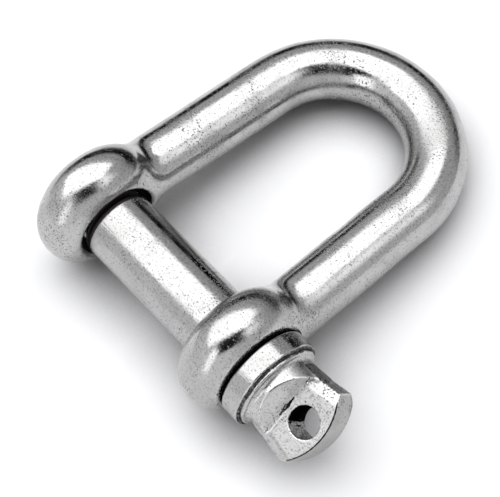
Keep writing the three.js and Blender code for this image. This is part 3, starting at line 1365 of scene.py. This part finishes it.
    def _shade_and_grime(
        self, x: np.ndarray, y: np.ndarray, w: np.ndarray, n: np.ndarray, curve: np.ndarray
    ) -> np.ndarray:
        """Gives where the pin is darkened: painted shade and dirt in hollows, and painted shade in
        streaks down the head's bevelled side.

        Args:
            x: Places along the pin.
            y: Places from the pin towards the crown.
            w: Places across the head's width.
            n: Places across the head's thickness.
            curve: Curvature at each place.

        Returns:
            How dark each place is, from 0 to 1.
        """
        wear = self.wear
        middle, arc = self._end_arc()
        before_end = np.hypot(x - middle, w) < arc - wear.edge
        bevelled = self.thickness / 2 - self.bevel + wear.bevel_reach
        beside = (w > self.waist - wear.side_reach) & (np.abs(n) < bevelled)
        # Painted shade in streaks down the head's bevelled side.
        side_shade = wear.side_shade + wear.side_shade_spread * waviness(0.3 * x, y, 5 * n, 2.0, seed=0.7)
        side = side_shade * (x > self.step - 3 * OVERLAP) * before_end * beside
        neck = (x > self.collar_end + wear.edge) & (x < self.step - OVERLAP)
        hollow = np.where(neck, 0, ramp(-curve, *wear.hollow_curve))
        return np.maximum(hollow, side)

    def _dark_places(self, x: np.ndarray, w: np.ndarray, n: np.ndarray, r: np.ndarray) -> np.ndarray:
        """Gives where the pin is painted dark, mostly as painted shade: joins, edges, the cross hole
        and where it meets the eyes.

        Args:
            x: Places along the pin.
            w: Places across the head's width.
            n: Places across the head's thickness.
            r: Distances from the pin's axis.

        Returns:
            How dark each place is, from 0 to 1.
        """
        wear = self.wear
        middle, arc = self._end_arc()
        on_flat = np.abs(np.abs(n) - self.thickness / 2) < wear.edge
        on_lip = r > self.collar - self.lip_inset - wear.edge
        on_tab = x > self.step
        ring = wear.ring * near(x, self.collar_end, wear.ring_width) * on_lip
        crease = self.crease.darkness(x, w, n, self.step) * on_flat
        end_line = near(np.hypot(x - middle, w), arc - wear.end_inset, wear.end_width)
        end_line = wear.end_line * end_line * on_flat * on_tab
        uneven = wear.hole_ragged * waviness(4 * x, 3 * w, 0.3 * n, 2.2, seed=0.3)
        unlit = np.clip((w - wear.hole_light) / wear.hole_fade + uneven, wear.least_hole, 1)
        in_hole = np.hypot(x - self.hole_place, w) < self.hole + wear.hole_rim
        bored = wear.hole * in_hole * on_tab * unlit
        back = self.collar_start - self.seat
        behind = ramp(back + wear.behind - x, 0, wear.behind_fade) * (x > back - 2 * OVERLAP)
        past_entry = np.maximum(x - self.shank_start - wear.entry, 0)
        entry = wear.entry_dark * near(past_entry, 0, wear.entry_fade)
        entry = entry * (x > self.shank_start - wear.entry_depth)
        return np.maximum.reduce([ring, crease, end_line, bored, behind, entry])

    def build(self, lie: Lie) -> bpy.types.Object:
        """Builds and dresses the pin.

        Args:
            lie: Where the shackle lies.

        Returns:
            The finished piece.
        """
        end = self.corner_place + self.end_bulge
        reach = self.collar + self.grid_margin
        mesher = Mesher((self.tip, -reach, -reach), (end, reach, reach), self.cell)
        piece, points, curve = mesher.build("screw_pin", self.field, lie)
        x, y, z = points.T
        w, n = self._across(y, z)
        paint(piece, RIM_WEAR, ramp(curve, *self.wear.rim_curve))
        # Painted shade and dirt in the hollows, and painted shade on the head's bevelled side.
        paint(piece, HOLLOW_SHADE_AND_GRIME, self._shade_and_grime(x, y, w, n, curve))
        # Painted shade at the joins, the crease, the cross hole, the collar's back and where the pin
        # meets the eyes, with a dark line along the head's end.
        paint(piece, SHADE_AND_MARKS, self._dark_places(x, w, n, np.hypot(y, z)))
        self._dress(piece, x, w)
        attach(piece, "pin_turn")
        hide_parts("pin_thread", "pin_shank", "pin_collar", "pin_head")
        return piece

    def _dress(self, piece: bpy.types.Object, x: np.ndarray, w: np.ndarray) -> None:
        """Gives the shank, the head and its sheared end their own finishes.

        Args:
            piece: The finished mesh.
            x: Places along the pin.
            w: Places across the head's width.
        """
        for finish in (Finish.TURNED, Finish.HEAD, Finish.SHEARED):
            piece.data.materials.append(finish.value.material())
        middle, arc = self._end_arc()
        zone = np.where(x > self.collar_end + self.lip, 1, 0)
        sheared = np.hypot(x - middle, w) > arc - self.sheared_depth
        zone = np.where(sheared & (x > self.step), 2, zone)
        corners = np.empty(4 * len(piece.data.polygons), int)
        piece.data.polygons.foreach_get("vertices", corners)
        faces = zone[corners.reshape(-1, 4)].min(1)
        piece.data.polygons.foreach_set("material_index", faces)


# ------------------------------------------------------------------ studio
@dataclass(frozen=True)
class Panel:
    """One plain panel of the studio, far away: a softbox, or the dark space by the camera.

    Attributes:
        azimuth: Its direction about the vertical, in degrees from +X towards +Y.
        height: Its direction above the floor, in degrees.
        width: Its width as a share of its distance, about the vertical.
        length: Its length as a share of its distance.
        level: How bright it is.
        softness: How far its edges fade, as a share of its distance.
        spin: Its turn about its own direction, in degrees.
    """

    azimuth: float
    height: float
    width: float
    length: float
    level: float
    softness: float
    spin: float = 0.0

    def axes(self) -> tuple[Vector, Vector, Vector]:
        """Gives the directions to its middle, along its width and along its length.

        Returns:
            The three directions.
        """
        azimuth = math.radians(self.azimuth)
        height = math.radians(self.height)
        spin = math.radians(self.spin)
        side = Vector((-math.sin(azimuth), math.cos(azimuth), 0))
        flat = Vector((math.cos(azimuth), math.sin(azimuth), 0))
        away = flat * math.cos(height) + Vector((0, 0, math.sin(height)))
        up = away.cross(side)
        wide = side * math.cos(spin) + up * math.sin(spin)
        return away, wide, away.cross(wide)


@dataclass(frozen=True)
class Studio:
    """The floor, the lights, the sky dome and the camera.

    Attributes:
        floor_size: Width of the floor, in metres.
        floor_white: How white its paper is.
        floor_blue: How much bluer than white it is.
        floor_rough: Roughness of the paper.
        floor_gloss: Level of its reflections.
        contact: How far from the shackle the floor's colour carries painted shade, in metres.
        contact_shade: What is left of the white under the painted shade, where the shackle stands on
            it.
        open_sky: Share of open sky above which the floor has no painted shade and is fully white.
        dark_reflection_band: Where the floor starts and ends fading to a black that only glossy rays
            see, a painted dark reflection, towards the gap, in metres.
        lens: The camera's focal length, in mm.
        nearest: Nearest distance that the camera sees, in metres.
        azimuth: The camera's direction about the vertical, in degrees.
        elevation: Its direction above the bow's plane, in degrees.
        roll: How far it is rolled, in degrees.
        distance: Its distance from what it looks at, in mm.
        aim: What it looks at, in the shackle's own axes, in mm.
        tint: Colour of the sky dome.
        side_level: How bright the dome's sides are.
        side_contrast: How much brighter the lit side is.
        side_spill: Share of the sides' light that reaches matt surfaces.
        lit_side: Direction of the lit side.
        gap_side: Direction of the dark gap beyond the floor.
        gap_sides: Where the gap starts and is fully dark, as a cosine from its direction.
        gap_foot: Heights where it starts and is fully dark.
        gap_top: Heights where it starts to fade and has ended.
        panels: The panels, each in front of the ones before it.
    """

    floor_size: float = 1.6
    floor_white: float = 0.93
    floor_blue: float = 1.01
    floor_rough: float = 0.85
    floor_gloss: float = 0.2
    contact: float = 0.017
    contact_shade: float = 0.08
    open_sky: float = 0.8
    dark_reflection_band: tuple[float, float] = (0.07, 0.13)
    lens: float = 127.4
    nearest: float = 0.01
    azimuth: float = 47.75
    elevation: float = 58.89
    roll: float = 1.2
    distance: float = 325.8
    aim: tuple[float, float, float] = (5.78, 15.05, 0.0)
    tint: tuple[float, float, float, float] = (0.985, 0.99, 1.0, 1.0)
    side_level: float = 0.76
    side_contrast: float = 0.27
    side_spill: float = 0.18
    lit_side: tuple[float, float, float] = (0.26, -0.97, 0.0)
    gap_side: tuple[float, float, float] = (-0.64, 0.77, 0.0)
    gap_sides: tuple[float, float] = (0.4, 0.78)
    gap_foot: tuple[float, float] = (-0.06, -0.02)
    gap_top: tuple[float, float] = (0.19, 0.3)
    panels: tuple[Panel, ...] = (
        Panel(azimuth=170, height=74.5, width=1.95, length=1.3, level=2.6, softness=0.22, spin=-33),
        Panel(azimuth=-26, height=57.5, width=1.16, length=0.66, level=0.0, softness=0.13),
        Panel(azimuth=34, height=43, width=0.5, length=0.45, level=1.7, softness=0.3),
        Panel(azimuth=-74, height=25, width=0.34, length=0.8, level=2.1, softness=0.14),
    )

    def camera(self, lie: Lie) -> None:
        """Sets the camera up, from angles in the shackle's own axes.

        Args:
            lie: Where the shackle lies.
        """
        azimuth = math.radians(self.azimuth)
        height = math.radians(self.elevation)
        flat = Vector((math.sin(azimuth), -math.cos(azimuth), 0))
        back = flat * math.cos(height) + Vector((0, 0, math.sin(height)))
        right = Vector((math.cos(azimuth), math.sin(azimuth), 0))
        up = back.cross(right)
        turn = Matrix((right, up, back)).transposed().to_4x4()
        turn = turn @ Matrix.Rotation(math.radians(self.roll), 4, "Z")
        frame = lie.matrix()
        place = frame @ (Vector(self.aim) + self.distance * back)
        data = bpy.data.cameras.new("camera")
        data.lens = self.lens
        data.clip_start = self.nearest
        camera = bpy.data.objects.new("camera", data)
        bpy.context.scene.collection.objects.link(camera)
        tilt = Matrix.Rotation(lie.lean, 4, "X")
        camera.matrix_world = Matrix.Translation(place) @ tilt @ turn
        bpy.context.scene.camera = camera

    def floor(self) -> None:
        """Lays the pale floor that the shackle lies on, with painted shade near the shackle and,
        towards the gap, a painted dark reflection.
        """
        half = self.floor_size / 2
        mesh = bpy.data.meshes.new("floor")
        corners = [(-half, -half, 0), (half, -half, 0), (half, half, 0), (-half, half, 0)]
        mesh.from_pydata(corners, [], [(0, 1, 2, 3)])
        floor = bpy.data.objects.new("floor", mesh)
        bpy.context.scene.collection.objects.link(floor)
        material = bpy.data.materials.new("floor_paper")
        material.use_nodes = True
        paper = material.node_tree.nodes["Principled BSDF"]
        white = self.floor_white
        dark = (0, 0, 0, 1)
        bench = Bench(material.node_tree)
        # Painted shade: the floor's colour darkens near the shackle.
        sky = bench.add("ShaderNodeAmbientOcclusion", {"samples": 8}, Distance=self.contact)
        contact_painted_shade = bench.remap(sky.outputs["AO"], 0.0, self.open_sky, self.contact_shade, 1.0)
        colour = bench.blend(contact_painted_shade, dark, (white, white, self.floor_blue * white, 1))
        # Painted dark reflection: towards the gap the floor turns black, for glossy rays only.
        along = self._dot(bench, bench.place(), self.gap_side)
        dark_reflection = bench.remap(along, *self.dark_reflection_band)
        mirrored = bench.add("ShaderNodeLightPath").outputs["Is Glossy Ray"]
        colour = bench.blend(bench.maths("MULTIPLY", dark_reflection, mirrored), colour, dark)
        bench.feed(paper.inputs["Base Color"], colour)
        paper.inputs["Roughness"].default_value = self.floor_rough
        paper.inputs["Specular IOR Level"].default_value = self.floor_gloss
        mesh.materials.append(material)

    @staticmethod
    def _dot(bench: Bench, first: object, second: object) -> bpy.types.NodeSocket:
        """Gives the dot product of two directions.

        Args:
            bench: The bench to add to.
            first: The first direction.
            second: The second direction.

        Returns:
            The product's socket.
        """
        node = bench.add("ShaderNodeVectorMath", {"operation": "DOT_PRODUCT"})
        bench.feed(node.inputs[0], first)
        bench.feed(node.inputs[1], second)
        return node.outputs["Value"]

    def _mask(self, bench: Bench, away: bpy.types.NodeSocket, panel: Panel) -> bpy.types.NodeSocket:
        """Gives where a panel shows on the dome.

        Args:
            bench: The dome's bench.
            away: The direction looked in.
            panel: The panel.

        Returns:
            The socket of its mask, from 0 to 1.
        """
        middle, wide, long = panel.axes()
        depth = self._dot(bench, away, middle)
        behind = bench.maths("MAXIMUM", depth, 0.001)
        mask = bench.maths("GREATER_THAN", depth, 0.001)
        for axis, half in ((wide, panel.width / 2), (long, panel.length / 2)):
            off = bench.maths("ABSOLUTE", bench.maths("DIVIDE", self._dot(bench, away, axis), behind))
            edge = bench.remap(off, half - panel.softness / 2, half + panel.softness / 2, 1.0, 0.0)
            mask = bench.maths("MULTIPLY", mask, edge)
        return mask

    def dome(self) -> None:
        """Makes the dome: soft grey sides, a dark gap at the floor's edge, and the panels."""
        world = bpy.data.worlds.new("studio_dome")
        bpy.context.scene.world = world
        world.use_nodes = True
        world.node_tree.nodes.clear()
        bench = Bench(world.node_tree)
        away = bench.add("ShaderNodeTexCoord").outputs["Generated"]
        height = bench.add("ShaderNodeSeparateXYZ", None, Vector=away).outputs["Z"]
        lit = self._dot(bench, away, self.lit_side)
        level = bench.maths("MULTIPLY_ADD", lit, self.side_contrast, self.side_level)
        shade = self._dot(bench, away, self.gap_side)
        strength = bench.remap(shade, *self.gap_sides)
        low = bench.remap(height, *self.gap_foot)
        high = bench.remap(height, *self.gap_top, 1.0, 0.0)
        gap = bench.maths("MULTIPLY", bench.maths("MULTIPLY", low, high), strength)
        level = bench.maths("MULTIPLY", level, bench.maths("SUBTRACT", 1.0, gap))
        matt = bench.add("ShaderNodeLightPath").outputs["Is Diffuse Ray"]
        spill = bench.maths("MULTIPLY_ADD", matt, self.side_spill - 1.0, 1.0)
        level = bench.maths("MULTIPLY", level, spill)
        for panel in self.panels:
            mask = self._mask(bench, away, panel)
            rest = bench.maths("MULTIPLY", level, bench.maths("SUBTRACT", 1.0, mask))
            level = bench.maths("MULTIPLY_ADD", mask, panel.level, rest)
        sky = bench.add("ShaderNodeBackground", None, Strength=level)
        sky.inputs["Color"].default_value = self.tint
        bench.add("ShaderNodeOutputWorld", None, Surface=sky.outputs["Background"])

    def build(self, lie: Lie) -> None:
        """Sets the whole studio up.

        Args:
            lie: Where the shackle lies.
        """
        view = bpy.context.scene.view_settings
        view.view_transform = "Standard"
        self.camera(lie)
        self.floor()
        self.dome()


# ------------------------------------------------------------------ the whole shackle
def sizes_from(frame: dict, lie: Lie) -> tuple[ForgedBody, ScrewPin]:
    """Works the two forgings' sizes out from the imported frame.

    Args:
        lie: Where the shackle lies.

    Returns:
        The body and the pin, with their sizes.
    """
    record = frame["record"]
    mounts = {mount["name"]: mount for mount in record["mounts"]}
    middle = lie.origin.x / MM
    low, high = (
        {name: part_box(name)[side] / MM for name in frame["nodes"]} for side in (0, 1)
    )
    pitch = 2 * math.pi * record["behaviour"]["couplings"][0]["ratio"] / MM
    shank = (high["pin_shank"].z - low["pin_shank"].z) / 2
    outer_face = high["shackle_body"].x - middle
    inside = lie.local(Vector(mounts["crown_hang"]["pos_m"])).y
    crest = (high["pin_thread"].z - low["pin_thread"].z) / 2
    flat = mounts["pin_head_upper_flat"]
    other = mounts["pin_head_lower_flat"]
    thickness = (Vector(flat["pos_m"]) - Vector(other["pos_m"])).length / MM
    turn = math.atan2(-flat["axis"][1], flat["axis"][2]) - lie.lean
    head_end = high["pin_head"].x - middle
    body = ForgedBody(
        eye=lie.origin.z / MM,
        eye_centre=outer_face - BAR,
        leg_gap=outer_face - BAR + LEG_OFFSET,
        crown_centre=inside + BAR - CROWN,
        bore=shank + BORE_CLEARANCE,
        thread_core=crest - THREAD_DEPTH + THREAD_CLEARANCE,
        thread_depth=THREAD_DEPTH,
        pitch=pitch,
    )
    pin = ScrewPin(
        shank=shank,
        tip=low["pin_thread"].x - middle,
        shank_start=low["pin_shank"].x - middle,
        collar_start=low["pin_collar"].x - middle,
        collar_end=high["pin_collar"].x - middle - LIP_ROOM,
        collar=(high["pin_collar"].z - low["pin_collar"].z) / 2,
        crest=crest,
        thread_depth=THREAD_DEPTH,
        pitch=pitch,
        head_turn=turn,
        thickness=thickness,
        step=head_end - STEP_BACK,
        slope_start=head_end - SLOPE_BACK,
        corner_place=head_end - END_BULGE,
        hole_place=flat["pos_m"][0] / MM - middle,
    )
    return body, pin


def main() -> None:
    """Builds every piece in order."""
    logging.basicConfig(level=logging.INFO, format="%(name)s: %(message)s")
    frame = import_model()
    lie = Lie.from_record(frame["record"])
    body, pin = sizes_from(frame, lie)
    for maker in (body, pin):
        piece = maker.build(lie)
        LOG.info("%s: %d faces", piece.name, len(piece.data.polygons))
    Studio().build(lie)


if __name__ == "__main__":
    main()
